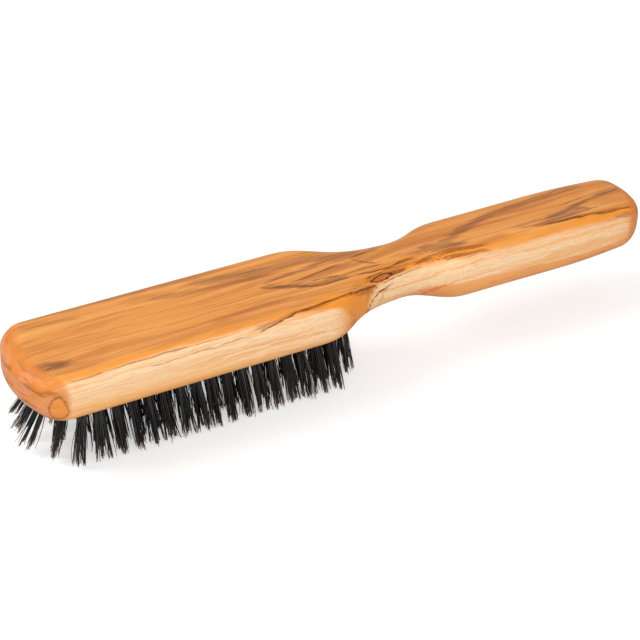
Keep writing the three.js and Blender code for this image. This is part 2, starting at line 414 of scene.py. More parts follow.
RUST_STREAKS = (
    (((9, -7), (17, -5)), 1.1, 0.95),
    (((19, -7), (26, -6.5), (39, -8)), 1.1, 0.95),
    (((27, -9), (39, -10.5)), 1.0, 0.85),
    (((22, -8), (31, -9)), 0.45, 0.8),
    (((56, -6.5), (74, -8), (91, -9.5)), 0.8, 0.75),
    (((-34, -16), (-21, -14), (-5, -12.5)), 0.9, 0.6),
    (((-3, -13), (4, -12)), 1.5, 0.65),
    (((3, -9), (10, -8), (17, -6)), 1.4, 0.6),
    (((-93, -4), (-91, -9), (-89, -13)), 0.7, 0.55),
)
GOLDEN_GLOWS = (
    (((-12, -14), (-3, -15.5), (1, -18)), 4.6, 0.85),
    (((1, -9), (22, -8)), 2.4, 0.7),
    (((22, -9), (42, -10)), 1.8, 0.75),
    (((68, -9.5), (91, -10.5)), 1.9, 0.8),
    (((-93, -4), (-90, -12.5)), 1.6, 0.6),
)

# Where the pale near side begins, sapwood and painted highlight, given like a course, and the height of its
# red band along the brush.
PALE_SIDE_TOP = (
    (-95, -15.5),
    (-14, -15.5),
    (-7, -19),
    (-1, -26),
    (3, -14.5),
    (12, -9),
    (20, -8.5),
    (40, -10),
    (95, -11.5),
)
RED_TOP = ((-95, 12), (0, 12), (16, 19), (28, 22), (36, 22), (50, 21), (95, 20))

# The middle of the heel along the brush; the ring at the toe's near corner; the knot at the neck.
HEEL_MIDDLE = -4.0
RING = (-89, -16, 21.5)
RING_REACH = (2.8, 2.7, 4.4)
KNOT = Vector((7.5, -9))
KNOT_REACH = (3.9, 1.1)
KNOT_TILT = Vector((1, 0.1)).normalized()

# The level from which a side folds up, and how far from the middle of the back it does so fully.
BACK_LEVEL = 29.5
SIDE_BEGINS = 4.0

# Half the length of a course's oval, against the stretch that it covers.
OVAL_REACH = 0.56


def unrolled(nodes, point):
    """Each shaded point as if the sides were folded up level with the back, with 1 as the third value."""
    x, y, z = nodes.split(point)
    side = nodes.math("MINIMUM", nodes.math("MAXIMUM", nodes.math("DIVIDE", y, SIDE_BEGINS), -1.0), 1.0)
    drop = nodes.math("MAXIMUM", nodes.math("SUBTRACT", BACK_LEVEL, z), 0.0)
    return nodes.joined(x, nodes.math("ADD", y, nodes.times(side, drop)), 1.0)


def from_line(nodes, flat, middle, direction, reach):
    """How far a point lies from a middle, along one direction, as a share of the reach."""
    return nodes.dot(flat, (direction.x / reach, direction.y / reach, -direction.dot(middle) / reach))


def course(nodes, flat, route, half_width, strength):
    """How strongly one line of figure shows: a chain of long thin ovals along its course."""
    shown = 0.0
    stops = [Vector(stop) for stop in route]
    for start, end in zip(stops, stops[1:]):
        along = (end - start).normalized()
        across = Vector((-along.y, along.x))
        middle = (start + end) / 2
        reach = (end - start).length * OVAL_REACH + half_width
        lengthwise = nodes.math("POWER", from_line(nodes, flat, middle, along, reach), 4.0)
        sideways = from_line(nodes, flat, middle, across, half_width)
        distance = nodes.math("ADD", lengthwise, nodes.times(sideways, sideways))
        shown = nodes.math("MAXIMUM", shown, nodes.ease(distance, 1.0, 0.15, 0.0, strength))
    return shown


def figure(nodes, flat, lines):
    """How strongly any of these lines of figure shows."""
    shown = 0.0
    for line in lines:
        shown = nodes.math("MAXIMUM", shown, course(nodes, flat, *line))
    return shown


def shifted(nodes, point, noise, reach):
    """A point moved by a noise colour, up to about half the reach either way."""
    return nodes.vector("ADD", point, nodes.scaled(nodes.vector("SUBTRACT", noise, (0.5, 0.5, 0.5)), reach))


def growth_bands(nodes, grain, finish):
    """Heartwood with broad soft bands and fine lines along the brush."""
    broad = nodes.noise(nodes.scaled(grain, (0.010, 0.30, 0.22)), detail=3.0, roughness=0.5)["Fac"]
    fine = nodes.noise(nodes.scaled(grain, (0.020, 1.5, 1.0)), detail=5.0, roughness=0.6)["Fac"]
    wood = nodes.mix(nodes.ease(broad, 0.5, 0.68, 0.0, 0.7), finish.heartwood, finish.light_band)
    wood = nodes.mix(nodes.ease(broad, 0.49, 0.36, 0.0, 0.95), wood, finish.dark_band)
    wood = nodes.mix(nodes.ease(fine, 0.48, 0.32, 0.0, 0.8), wood, finish.dark_band)
    mottle = nodes.noise(nodes.scaled(grain, (0.03, 0.2, 0.2)), detail=3.0, roughness=0.55)["Fac"]
    wood = nodes.mix(nodes.ease(mottle, 0.53, 0.34, 0.0, 0.6), wood, finish.dark_band)
    return nodes.mix(nodes.ease(fine, 0.54, 0.7, 0.0, 0.6), wood, finish.light_band)


def pale_side_bands(nodes, flat, z, finish):
    """Pale sapwood with orange lines, palest near the top as a painted highlight, warmer towards the
    underside, reddish low on the handle.
    """
    x = nodes.split(flat)[0]
    lines = nodes.noise(nodes.scaled(flat, (0.016, 0.9, 0.0)), detail=5.0)["Fac"]
    hairs = nodes.noise(nodes.scaled(flat, (0.03, 3.0, 0.0)), detail=3.0)["Fac"]
    streaks = nodes.noise(nodes.scaled(flat, (0.012, 0.4, 0.0)), detail=3.0)["Fac"]
    height = nodes.math("ADD", z, nodes.ease(x, -60.0, -20.0, 0.0, 3.0))
    # Painted highlight in part: the near side is paler towards its top.
    pale = nodes.mix(nodes.ease(height, 18.5, 26.0), finish.low_sapwood, finish.sapwood_and_highlight)
    pale = nodes.mix(nodes.ease(lines, 0.48, 0.34, 0.0, 0.7), pale, finish.light_band)
    pale = nodes.mix(nodes.ease(lines, 0.55, 0.68, 0.0, 0.5), pale, finish.sapwood_and_highlight)
    pale = nodes.mix(nodes.ease(hairs, 0.5, 0.34, 0.0, 0.45), pale, finish.light_band)
    streaked = nodes.times(nodes.ease(streaks, 0.47, 0.6), nodes.ease(x, 10.0, 40.0, 0.15, 0.6))
    pale = nodes.mix(streaked, pale, finish.light_band)
    red = nodes.mix(nodes.ease(lines, 0.36, 0.5, 0.0, 0.85), finish.red_band, finish.low_sapwood)
    red = nodes.mix(nodes.ease(hairs, 0.5, 0.34, 0.0, 0.5), red, finish.red_band)
    below_top = nodes.math("SUBTRACT", nodes.curve(x, RED_TOP, 10.0, 30.0), z)
    return nodes.mix(nodes.ease(below_top, -0.3, 0.5), pale, red)


def with_pale_side(nodes, wood, point, steady, flat, thread, finish):
    """Golden wood where the heartwood ends, then the near side's pale sapwood with its painted highlight."""
    along, across, _ = nodes.split(steady)
    depth = nodes.math("SUBTRACT", nodes.curve(along, PALE_SIDE_TOP, -30.0, 0.0), across)
    gold = nodes.times(nodes.ease(depth, -3.6, -0.4), nodes.ease(thread, 0.38, 0.56, 0.2, 0.75))
    wood = nodes.mix(gold, wood, finish.golden)
    wood = nodes.mix(figure(nodes, flat, GOLDEN_GLOWS), wood, finish.golden)

    # The pale sapwood and its painted highlight give way at the heel and at the handle's end, and on the
    # handle its edge is softer.
    from_heel = nodes.math("ABSOLUTE", nodes.math("SUBTRACT", along, HEEL_MIDDLE))
    away_from_end = nodes.ease(along, 92.0, 82.0, 0.15, 1.0)
    lasting = nodes.times(nodes.ease(from_heel, 1.0, 9.0, 0.1, 1.0), away_from_end)
    softer = nodes.times(depth, nodes.ease(along, 18.0, 36.0, 1.0, 0.45))
    pale_share = nodes.times(nodes.ease(softer, -0.7, 1.8), lasting)
    x, y, z = nodes.split(point)
    wood = nodes.mix(pale_share, wood, pale_side_bands(nodes, flat, z, finish))

    # Golden wood along the lower edge of the head.
    low_edge = nodes.times(nodes.ease(z, 18.1, 17.3), nodes.ease(y, -10.0, -14.0))
    low_edge = nodes.times(low_edge, nodes.ease(x, -2.0, 8.0, 0.8, 0.15))
    return nodes.mix(low_edge, wood, finish.golden)


def with_figure(nodes, wood, steady, flat, thread, finish):
    """Brown shades, rust streaks and dark lines, their edges parted by the threads of the grain."""
    shades = nodes.times(figure(nodes, flat, BROWN_SHADES), nodes.ease(thread, 0.36, 0.56, 0.45, 1.15))
    wood = nodes.mix(shades, wood, finish.brown_shade, blend="MULTIPLY")
    rust = nodes.times(figure(nodes, flat, RUST_STREAKS), nodes.ease(thread, 0.36, 0.5, 0.3, 1.1))
    wood = nodes.mix(rust, wood, finish.rust)
    dark = nodes.times(figure(nodes, steady, DARK_LINES), nodes.ease(thread, 0.32, 0.5, 0.55, 1.1))
    return nodes.mix(dark, wood, finish.dark_line)


def with_knot(nodes, wood, steady, finish):
    """The eye-shaped knot at the neck, with its dark outline."""
    lengthwise = from_line(nodes, steady, KNOT, KNOT_TILT, KNOT_REACH[0])
    sideways = from_line(nodes, steady, KNOT, Vector((-KNOT_TILT.y, KNOT_TILT.x)), KNOT_REACH[1])
    pointed = nodes.math("POWER", nodes.math("ABSOLUTE", lengthwise), 1.4)
    from_eye = nodes.math("ADD", pointed, nodes.math("POWER", nodes.math("ABSOLUTE", sideways), 1.4))
    wood = nodes.mix(nodes.ease(from_eye, 1.0, 0.8, 0.0, 0.85), wood, finish.knot)
    outline = nodes.times(nodes.ease(from_eye, 1.35, 1.0), nodes.ease(from_eye, 0.6, 0.85))
    return nodes.mix(outline, wood, finish.knot_rim)


def with_cut_ends(nodes, wood, point, finish):
    """Golden wood with darker arcs where both ends cut the grain, and pinker patches at the toe; the ends'
    colours carry painted shade too, most on their rounded rims.
    """
    x = nodes.split(point)[0]
    normal = nodes.add("ShaderNodeTexCoord").outputs["Normal"]
    at_ends = nodes.ease(nodes.math("ABSOLUTE", x), 78.0, 86.0)
    across_grain = nodes.times(nodes.math("ABSOLUTE", nodes.split(normal)[0]), at_ends)
    # Painted shade in part: the rounded rims of the ends, picked out by the way they face, are darker.
    wood = nodes.mix(nodes.ease(across_grain, 0.12, 0.4, 0.0, 0.8), wood, finish.end_rim_and_shade)
    patches = nodes.noise(nodes.scaled(point, (0.1, 0.14, 0.3)), detail=2.0)["Fac"]
    pinker = nodes.times(nodes.ease(across_grain, 0.4, 0.75), nodes.ease(patches, 0.36, 0.62, 0.0, 0.85))
    wood = nodes.mix(nodes.times(pinker, nodes.ease(x, 0.0, -80.0)), wood, finish.end_grain_and_shade)
    arcs = nodes.noise(nodes.scaled(point, (0.05, 0.16, 0.7)), detail=3.0)["Fac"]
    shaded = nodes.times(nodes.ease(across_grain, 0.3, 0.7), nodes.ease(arcs, 0.5, 0.36, 0.0, 0.7))
    return nodes.mix(shaded, wood, finish.rust)


def with_ring(nodes, wood, waved, thread, finish):
    """The ring at the toe's near corner, golden within."""
    from_middle = nodes.vector("SUBTRACT", waved, RING)
    from_ring = nodes.length(nodes.scaled(from_middle, tuple(1 / reach for reach in RING_REACH)))
    wood = nodes.mix(nodes.ease(from_ring, 1.0, 0.7, 0.0, 0.4), wood, finish.golden)
    outline = nodes.times(nodes.ease(from_ring, 1.12, 1.0), nodes.ease(from_ring, 0.8, 0.97))
    outline = nodes.times(outline, nodes.ease(thread, 0.36, 0.56, 0.3, 0.9))
    return nodes.mix(outline, wood, finish.rust)


def olive_wood(finish):
    """Oiled olive wood: fine bands along the brush, dark figure, pale sapwood on the near side with a painted
    highlight.
    """
    nodes = Nodes("oiled_olive_wood")
    place = nodes.add("ShaderNodeTexCoord").outputs["Object"]
    point = nodes.scaled(place, (MILLIMETRES,) * 3)

    # Slow waves bend the grain, quicker ones the figure, and threads part its edges.
    slow = nodes.noise(nodes.scaled(point, (0.022, 0.06, 0.06)), detail=2.0)["Color"]
    grain = shifted(nodes, point, slow, (0.0, 6.0, 4.0))
    wave = nodes.noise(nodes.scaled(point, (0.13, 0.5, 0.5)), detail=3.0)["Color"]
    threads = nodes.noise(nodes.scaled(grain, (0.045, 2.6, 2.6)), detail=4.0, roughness=0.65)["Color"]
    thread = nodes.split(threads)[2]
    waved = shifted(nodes, point, wave, (1.2, 1.6, 1.6))
    steady = unrolled(nodes, shifted(nodes, waved, threads, (1.6, 0.6, 0.6)))
    flat = unrolled(nodes, shifted(nodes, waved, threads, (17.0, 1.2, 1.2)))

    wood = growth_bands(nodes, grain, finish)
    wood = with_pale_side(nodes, wood, point, steady, flat, thread, finish)
    wood = with_figure(nodes, wood, steady, flat, thread, finish)
    wood = with_knot(nodes, wood, steady, finish)

    # Fibres and pores, drawn out along the grain.
    fibre = nodes.noise(nodes.scaled(grain, (0.16, 6.0, 6.0)), detail=4.0, roughness=0.65)["Fac"]
    wood = nodes.mix(nodes.ease(fibre, 0.54, 0.34, 0.0, 0.3), wood, finish.dark_band)
    pore = nodes.noise(nodes.scaled(grain, (0.5, 9.0, 9.0)), detail=2.0)["Fac"]
    pores = nodes.ease(pore, 0.66, 0.78)
    wood = nodes.mix(nodes.times(pores, 0.25), wood, finish.dark_line)

    wood = with_cut_ends(nodes, wood, point, finish)
    wood = with_ring(nodes, wood, waved, thread, finish)
    relief = nodes.math("SUBTRACT", fibre, nodes.times(pores, 0.8))
    bump = nodes.add("ShaderNodeBump", {"Height": relief, "Strength": 0.12, "Distance": 0.0001})
    return nodes.surface(
        {
            "Base Color": wood,
            "Roughness": nodes.ease(fibre, 0.3, 0.7, 0.5, 0.4),
            "Specular IOR Level": 0.28,
            "Normal": bump.outputs[0],
        }
    )


# A bristle's tone is drawn between 0 and 1: above the first of these it is greyer, a painted glint, and pale
# above the second.
GLINT_TONE = 0.8
PALE_TONE = 0.993


def bristle_hair(finish):
    """Dark boar bristle with split brown tips; some are greyer as a painted glint, and a few pale from end to
    end.
    """
    nodes = Nodes("boar_bristle")
    along = nodes.add("ShaderNodeAttribute", attribute_name="along").outputs["Fac"]
    tone = nodes.add("ShaderNodeAttribute", attribute_name="tone").outputs["Fac"]
    # Painted glint: a share of the bristles is greyer all along.
    hair = nodes.mix(nodes.ease(tone, GLINT_TONE, GLINT_TONE + 0.04), finish.bristle, finish.bristle_glint)
    tip_start = nodes.math("SUBTRACT", 0.99, nodes.times(tone, 0.14))
    tip = nodes.ease(nodes.math("SUBTRACT", along, tip_start), 0.0, 0.07)
    hair = nodes.mix(tip, hair, finish.bristle_tip)
    hair = nodes.mix(nodes.ease(tone, PALE_TONE, PALE_TONE + 0.002), hair, finish.bristle_pale)
    return nodes.surface({"Base Color": hair, "Roughness": 0.2, "Specular IOR Level": 0.7})


def anchor_steel(finish):
    """Drawn flat wire, finely scratched along its length."""
    nodes = Nodes("drawn_steel")
    place = nodes.add("ShaderNodeTexCoord").outputs["Object"]
    lines = nodes.noise(nodes.scaled(place, (400.0, 9000.0, 9000.0)))["Fac"]
    shade = nodes.mix(nodes.ease(lines, 0.3, 0.7), tuple(c * 0.8 for c in finish.steel), tuple(finish.steel))
    roughness = nodes.ease(lines, 0.3, 0.7, 0.3, 0.45)
    return nodes.surface({"Base Color": shade, "Metallic": 1.0, "Roughness": roughness})


# ---- The body ----

STRAIGHT_STEPS = 16
CURVE_STEPS = 20
CORNER_STEPS = 9
FLAT_STEPS = 10
HOLE_SIDES = 20
SHARP_ANGLE = math.radians(40)

# The handles of the plan outline's curves, at the start and at the end, as shares of the length.
SHOULDER_SWING = (0.41, 0.66)
WAIST_SWING = (0.45, 0.47)
TAPER_SWING = (0.68, 0.35)

# The scales of the loops that close an end face.
FACE_SCALES = (0.25, 0.5, 0.75)

# Points this near a node's top belong to its top; a gap wider than this parts two tufts.
SAME_LEVEL = 1e-5
TUFT_GAP = 0.0015


def side_outline(sizes):
    """One side of the plan outline, as (distance from the toe, half width) pairs."""
    start = sizes.toe_bulge + sizes.toe_corner
    end = LENGTH - sizes.end_bulge - sizes.end_corner
    half_head = (HIGH.y - LOW.y) / 2
    shares = [i / STRAIGHT_STEPS for i in range(STRAIGHT_STEPS + 1)]
    outline = [(lerp(start, sizes.head_length, share_of_head), half_head) for share_of_head in shares]
    swings = (
        (sizes.neck_at, sizes.neck_width / 2, SHOULDER_SWING, 0.0),
        (sizes.handle_at, sizes.handle_width / 2, WAIST_SWING, 0.0),
        (end, sizes.end_width / 2, TAPER_SWING, sizes.taper_slope),
    )
    for to_x, to_half, (leave, arrive), slope in swings:
        from_x, from_half = outline[-1]
        span = to_x - from_x
        points = (
            Vector((from_x, from_half)),
            Vector((from_x + leave * span, from_half)),
            Vector((to_x - arrive * span, to_half + slope * arrive * span)),
            Vector((to_x, to_half)),
        )
        outline += [tuple(cubic(points, i / CURVE_STEPS)) for i in range(1, CURVE_STEPS + 1)]
    return outline


def section(sizes, along, half, corner, fullness):
    """The cross-section at a distance from the toe; fullness is 0 at an end face and 1 past its rounding."""
    swell = smoothstep(along, sizes.head_length, sizes.handle_at)
    hang = smoothstep(along, sizes.neck_at, sizes.handle_at)
    top_edge = lerp(sizes.head_top_edge, sizes.handle_top_edge, swell)
    bottom_edge = lerp(sizes.head_bottom_edge, sizes.handle_bottom_edge, swell)
    return {
        "along": along,
        "half": half - corner * (1 - fullness),
        "top": lerp(HEAD_TOP, HIGH.z, swell) - top_edge * (1 - fullness),
        "bottom": UNDERSIDE - sizes.handle_drop * hang + bottom_edge * (1 - fullness),
        "top_edge": top_edge * fullness,
        "bottom_edge": bottom_edge * fullness,
    }


def sections(sizes):
    """Every section from the toe's face to the handle's end face."""
    outline = side_outline(sizes)
    (toe_at, toe_half), (end_at, end_half) = outline[0], outline[-1]
    toe, end = [], []
    for i in range(CORNER_STEPS):
        turn = math.pi / 2 * i / CORNER_STEPS
        fullness, depth = math.sin(turn), math.cos(turn)
        toe.append(section(sizes, toe_at - sizes.toe_corner * depth, toe_half, sizes.toe_corner, fullness))
        end.append(section(sizes, end_at + sizes.end_corner * depth, end_half, sizes.end_corner, fullness))
    between = [section(sizes, x, half, 0.0, 1.0) for x, half in outline]
    return toe + between + end[::-1]


def section_loop(sizes, cut, scale=1.0):
    """The points round a section, from one side over the top to the other and back underneath."""
    points = []
    middle = (cut["top"] + cut["bottom"]) / 2
    top_y, bottom_y = cut["half"] - cut["top_edge"], cut["half"] - cut["bottom_edge"]
    top_z, bottom_z = cut["top"] - cut["top_edge"], cut["bottom"] + cut["bottom_edge"]
    corners = (
        (-top_y, top_z, cut["top_edge"], math.pi),
        (top_y, top_z, cut["top_edge"], math.pi / 2),
        (bottom_y, bottom_z, cut["bottom_edge"], 0.0),
        (-bottom_y, bottom_z, cut["bottom_edge"], -math.pi / 2),
    )
    flats = (((-top_y, top_y), cut["top"]), None, ((bottom_y, -bottom_y), cut["bottom"]), None)
    for (y, z, radius, start), flat in zip(corners, flats):
        for i in range(CORNER_STEPS + 1):
            turn = start - math.pi / 2 * i / CORNER_STEPS
            points.append((y + radius * math.cos(turn), z + radius * math.sin(turn)))
        if flat:
            (from_y, to_y), level = flat
            points += [(lerp(from_y, to_y, i / FLAT_STEPS), level) for i in range(1, FLAT_STEPS)]
    loop = []
    for y, z in points:
        y, z = y * scale, lerp(middle, z, scale)
        loop.append(Vector((LOW.x + cut["along"] + bulge(sizes, cut["along"], y), y, z)))
    return loop


def bulge(sizes, along, y):
    """How far the bulged ends push a point along X."""
    toe_fade = max(0.0, 1 - (along - sizes.toe_bulge) / sizes.bulge_fade)
    end_fade = max(0.0, 1 - (LENGTH - sizes.end_bulge - along) / sizes.bulge_fade)
    toe = sizes.toe_bulge * (1 - (2 * y / (HIGH.y - LOW.y)) ** 2) * toe_fade
    end = sizes.end_bulge * (1 - (2 * y / sizes.end_width) ** 2) * end_fade
    return end - toe


def body_blank(sizes):
    """The body before drilling: a ring of edges drawn out from section to section, closed at both ends."""
    cuts = sections(sizes)
    loops = [section_loop(sizes, cuts[0], scale) for scale in FACE_SCALES]
    loops += [section_loop(sizes, cut) for cut in cuts]
    loops += [section_loop(sizes, cuts[-1], scale) for scale in reversed(FACE_SCALES)]
    bm = bmesh.new()
    bmesh.ops.create_circle(bm, cap_ends=True, segments=len(loops[0]), radius=1.0)
    verts = list(bm.verts)
    for vert, point in zip(verts, loops[0]):
        vert.co = point
    edges = list(bm.edges)
    for loop in loops[1:]:
        drawn = bmesh.ops.extrude_edge_only(bm, edges=edges)["geom"]
        new = set(e for e in drawn if isinstance(e, bmesh.types.BMVert))
        verts = [next(e.other_vert(v) for e in v.link_edges if e.other_vert(v) in new) for v in verts]
        edges = [e for e in drawn if isinstance(e, bmesh.types.BMEdge)]
        for vert, point in zip(verts, loop):
            vert.co = point
    bmesh.ops.contextual_create(bm, geom=edges)
    bmesh.ops.poke(bm, faces=[f for f in bm.faces if len(f.verts) > 4])
    bmesh.ops.recalc_face_normals(bm, faces=bm.faces)
    return bm


def drills(sizes):
    """One drill for every hole, as a single mesh to cut with."""
    bm = bmesh.new()
    overshoot = sizes.hole_radius
    for seats in tuft_seats().values():
        for x, y in seats:
            middle = UNDERSIDE + (sizes.hole_depth - overshoot) / 2
            bmesh.ops.create_cone(
                bm,
                cap_ends=True,
                segments=HOLE_SIDES,
                radius1=sizes.hole_radius,
                radius2=sizes.hole_radius,
                depth=sizes.hole_depth + overshoot,
                matrix=Matrix.Translation((x, y, middle)),
            )
    return bm


def middle_of(points):
    """The middle of the box round some (x, y) points."""
    return tuple((min(point[k] for point in points) + max(point[k] for point in points)) / 2 for k in (0, 1))


def tuft_seats():
    """Where each CAD tuft node's tufts stand: the middles of its top faces, one for each tuft."""
    seats = {}
    for name, node in sorted(frame["nodes"].items()):
        if name == BODY_NODE:
            continue
        top = max(v.co.z for v in node.data.vertices)
        roots = sorted((v.co.x, v.co.y) for v in node.data.vertices if v.co.z > top - SAME_LEVEL)
        groups = [[roots[0]]]
        for root in roots[1:]:
            if root[0] - groups[-1][-1][0] > TUFT_GAP:
                groups.append([])
            groups[-1].append(root)
        seats[name] = [middle_of(group) for group in groups]
    return seats


def modified(piece, kind, **settings):
    """Adds a modifier to a piece and makes its result the piece's mesh."""
    modifier = piece.modifiers.new(kind.lower(), kind)
    for key, value in settings.items():
        setattr(modifier, key, value)
    graph = bpy.context.evaluated_depsgraph_get()
    mesh = bpy.data.meshes.new_from_object(piece.evaluated_get(graph))
    piece.modifiers.remove(modifier)
    piece.data = mesh


# ---- Tufts ----

STRAND_SIDES = 4
STRAND_LEVELS = 7

# A root's distances from the wall and from the closed end of its hole, and a tip's from the ground.
ROOT_CLEARANCE = 0.0005
ROOT_DEPTH = 0.0012
TIP_CLEARANCE = 0.00005

# The width of a lock at its tips against its roots; how far a bristle's tip and its middle stray; the
# share of bristles that stray more, and by how much.
LOCK_SPREAD = 0.55
STRAND_DRIFT = 0.00026
STRAND_BOW = 0.00014
STRAY_SHARE = 0.08
STRAY_FACTOR = 4.0

# How unevenly bristles end; the share that is shorter still, and by how much; the most for any.
UNEVENNESS = 0.0008
SHORT_SHARE = 0.1
SHORT_LENGTH = 0.004
MOST_SHORT = 0.006

# The range of bristles' radii against their mean, and a tip's radius against its root's.
RADIUS_RANGE = (0.75, 1.25)
TIP_TAPER = 0.5

# How much shorter the first tufts at the toe are, and the sideways slope that the far ones add.
TOE_TRIM = 0.14
TOE_SPLAY = 0.16

# How far an anchor's middle is from the closed end of its hole, its clearance there, and its bevel.
ANCHOR_DEPTH = 0.0012
ANCHOR_CLEARANCE = 0.0001
ANCHOR_BEVEL = 0.00006


def strand_template():
    """One unit strand: a four-sided rod from level 0, its root, to level 1, its tip."""
    bm = bmesh.new()
    bmesh.ops.create_circle(bm, cap_ends=True, segments=STRAND_SIDES, radius=1.0)
    bmesh.ops.reverse_faces(bm, faces=bm.faces)
    edges = list(bm.edges)
    for level in range(1, STRAND_LEVELS):
        drawn = bmesh.ops.extrude_edge_only(bm, edges=edges)["geom"]
        verts = [g for g in drawn if isinstance(g, bmesh.types.BMVert)]
        edges = [g for g in drawn if isinstance(g, bmesh.types.BMEdge)]
        bmesh.ops.translate(bm, verts=verts, vec=(0, 0, 1 / (STRAND_LEVELS - 1)))
    bmesh.ops.contextual_create(bm, geom=edges)
    bmesh.ops.recalc_face_normals(bm, faces=bm.faces)
    return mesh_of("strand_template", bm)


def lock_shapes(rng, sizes):
    """The locks that a tuft parts into: where each starts, and how its tip drifts."""
    locks = []
    for _ in range(sizes.locks):
        turn = rng.uniform(0, 2 * math.pi)
        out = math.sqrt(rng.random()) * sizes.hole_radius
        start = Vector((math.cos(turn), math.sin(turn))) * out
        drift = Vector((rng.gauss(0, 1), rng.gauss(0, 1))) * sizes.lock_drift
        locks.append((start, start * sizes.tip_spread + drift))
    return locks


def strand_shape(rng, sizes, seat, lean, locks, trim):
    """One bristle: a function that gives its middle and radius at a level, and the turn of its sides."""
    spin = rng.uniform(0, 2 * math.pi)
    out = math.sqrt(rng.random()) * (sizes.hole_radius - ROOT_CLEARANCE)
    root = Vector((math.cos(spin), math.sin(spin))) * out
    start, end = min(locks, key=lambda lock: (lock[0] - root).length)
    tip = end + (root - start) * LOCK_SPREAD
    stray = STRAY_FACTOR if rng.random() < STRAY_SHARE else 1.0
    tip += Vector((rng.gauss(0, 1), rng.gauss(0, 1))) * STRAND_DRIFT * stray
    bow = Vector((rng.gauss(0, 1), rng.gauss(0, 1))) * STRAND_BOW * stray
    uneven = abs(rng.gauss(0, UNEVENNESS))
    cut_short = (rng.random() < SHORT_SHARE) * rng.uniform(0, SHORT_LENGTH)
    reach = (UNDERSIDE - TIP_CLEARANCE - min(uneven + cut_short, MOST_SHORT)) * trim
    radius = sizes.bristle_radius * rng.uniform(*RADIUS_RANGE)
    mouth_level = 1 / (STRAND_LEVELS - 1)

    def place(level):
        """The bristle's middle and its radius at a level."""
        if level < mouth_level:
            drop, t = ROOT_DEPTH - sizes.hole_depth, 0.0
        else:
            t = (level - mouth_level) / (1 - mouth_level)
            drop = t * reach
        spread = root.lerp(tip, t**0.9) + bow * 4 * t * (1 - t)
        below = max(drop, 0.0)
        x = seat[0] + spread.x + lean[0] * below
        y = seat[1] + spread.y + lean[1] * below
        return Vector((x, y, UNDERSIDE - drop)), radius * lerp(1.0, TIP_TAPER, t**2)

    return place, rng.uniform(0, math.pi / 2)


def lean_of(sizes, seat, toe_x, outer_y):
    """The slope of a tuft along and across the head, and how far it takes part in the toe's fan."""
    fan = math.exp(-(seat[0] - toe_x - sizes.far_fan * max(0.0, seat[1])) / sizes.lean_fade)
    along = sizes.heel_lean - (sizes.heel_lean + sizes.toe_lean) * fan
    across = (sizes.side_lean + TOE_SPLAY * fan * (seat[1] > 0)) * seat[1] / outer_y
    return (along, across), fan


def tuft_piece(name, node, seats, template, sizes, material, extent):
    """The bristles of one CAD tuft node; extent is the seats' least x and greatest y on the whole head."""
    rng = random.Random(name)
    bm = bmesh.new()
    along, tone = [], []
    for seat in seats:
        lean, fan = lean_of(sizes, seat, *extent)
        locks = lock_shapes(rng, sizes)
        for _ in range(sizes.bristles):
            place, turn = strand_shape(rng, sizes, seat, lean, locks, 1 - TOE_TRIM * fan)
            start = len(bm.verts)
            bm.from_mesh(template)
            bm.verts.ensure_lookup_table()
            shade = rng.random()
            turned = Matrix.Rotation(turn, 3, "Z")
            for vert in bm.verts[start:]:
                level = vert.co.z
                middle, radius = place(level)
                side = turned @ Vector((vert.co.x, vert.co.y, 0.0))
                vert.co = middle + side * radius
                along.append(level)
                tone.append(shade)
    piece = add_piece(name, bm, material)
    for label, values in (("along", along), ("tone", tone)):
        piece.data.attributes.new(label, "FLOAT", "POINT").data.foreach_set("value", values)
    piece.data.shade_smooth()
    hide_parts(node)
    return piece


# ---- Operators ----


class BRUSH_OT_body(bpy.types.Operator):
    """Build the wooden body with its blind holes"""

    bl_idname = "brush.body"
    bl_label = "Wooden body"

    def execute(self, context):
        scene = context.scene
        wood = olive_wood(scene.brush_finish)
        piece = add_piece("wooden_body", body_blank(scene.brush_body), wood)
        cutter = placed("drills", mesh_of("drills", drills(scene.brush_tufts)))
        modified(piece, "BOOLEAN", operation="DIFFERENCE", solver="EXACT", object=cutter)
        bpy.data.objects.remove(cutter)
        piece.data.shade_smooth()
        piece.data.set_sharp_from_angle(angle=SHARP_ANGLE)
        modified(piece, "WEIGHTED_NORMAL", keep_sharp=True, weight=60)
        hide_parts(BODY_NODE)
        return {"FINISHED"}


class BRUSH_OT_tufts(bpy.types.Operator):
    """Build the bristle tufts"""

    bl_idname = "brush.tufts"
    bl_label = "Bristle tufts"

    def execute(self, context):
        sizes = context.scene.brush_tufts
        material = bristle_hair(context.scene.brush_finish)
        seats = tuft_seats()
        every = [seat for group in seats.values() for seat in group]
        toe_x = min(x for x, _ in every)
        outer_y = max(y for _, y in every)
        template = strand_template()
        for node, places in seats.items():
            name = node.replace("tufts_", "bristles_").replace("tuft_", "bristles_")
            tuft_piece(name, node, places, template, sizes, material, (toe_x, outer_y))
        bpy.data.meshes.remove(template)
        return {"FINISHED"}


